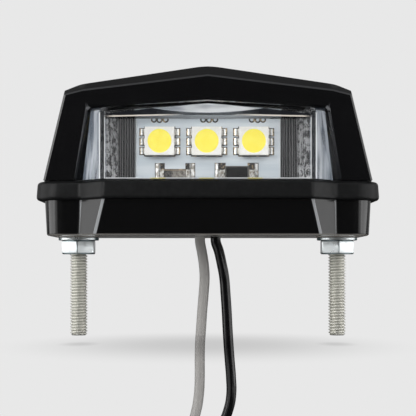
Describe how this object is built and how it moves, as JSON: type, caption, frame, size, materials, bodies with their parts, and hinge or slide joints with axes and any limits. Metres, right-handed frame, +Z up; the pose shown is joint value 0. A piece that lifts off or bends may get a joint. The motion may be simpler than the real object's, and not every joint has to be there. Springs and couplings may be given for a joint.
{
  "type": "number plate lamp",
  "caption": "Number plate lamp: black gabled housing, clear bay window over a board of white light sources, soft seal band, threaded fixing studs with nuts below and free leads.",
  "frame": {"origin": "midway between the centre lines of the two studs, on the flat underside that lies on the vehicle or bracket", "axes": "+Z up through the housing's peak, -Y out of the lit bay window, +X to the right as seen from in front of the window"},
  "size_m": [0.0582, 0.0265, 0.0952],
  "materials": {
    "hood": "glossy black",
    "lens": "clear, polished",
    "collar": "matt charcoal",
    "base": "glossy black",
    "carrier": "matt black, ribbed",
    "screws": "zinc plated",
    "studs": "plain steel thread",
    "washers": "bright zinc",
    "nuts": "bright zinc",
    "board": "white solder resist",
    "led_package": "white moulding",
    "phosphor": "yellow, slightly domed light",
    "contacts": "tinned",
    "solder": "bright solder",
    "resistor": "dark glaze on ceramic",
    "caps": "tinned",
    "diode": "matt black moulding",
    "seal": "matt black",
    "grey_insulation": "satin grey sleeve",
    "black_insulation": "satin black sleeve",
    "wound_leads": "grey and black sleeves side by side",
    "tie": "black strap",
    "strands": "tinned strands"
  },
  "bodies": {
    "root": {"hood": "hood", "lens": "lens", "seal_collar": "collar", "base": "base", "carrier": "carrier", "hood_screws": "screws", "stud_left": "studs", "stud_right": "studs", "washer_left": "washers", "washer_right": "washers", "nut_left": "nuts", "nut_right": "nuts", "circuit_board": "board", "led_left": "led_package", "led_left_phosphor": "phosphor", "led_left_contacts": "contacts", "led_middle": "led_package", "led_middle_phosphor": "phosphor", "led_middle_contacts": "contacts", "led_right": "led_package", "led_right_phosphor": "phosphor", "led_right_contacts": "contacts", "led_solder": "solder", "resistor": "resistor", "resistor_caps": "caps", "resistor_solder": "solder", "diode": "diode", "diode_contacts": "contacts", "diode_solder": "solder", "cable_seal": "seal", "grey_lead_inside": "grey_insulation", "black_lead_inside": "black_insulation", "lead_solder": "solder", "grey_lead": "grey_insulation", "black_lead": "black_insulation", "lead_coil": "wound_leads", "coil_tie": "tie", "grey_lead_end": "strands", "black_lead_end": "strands"}
  },
  "joints": []
}
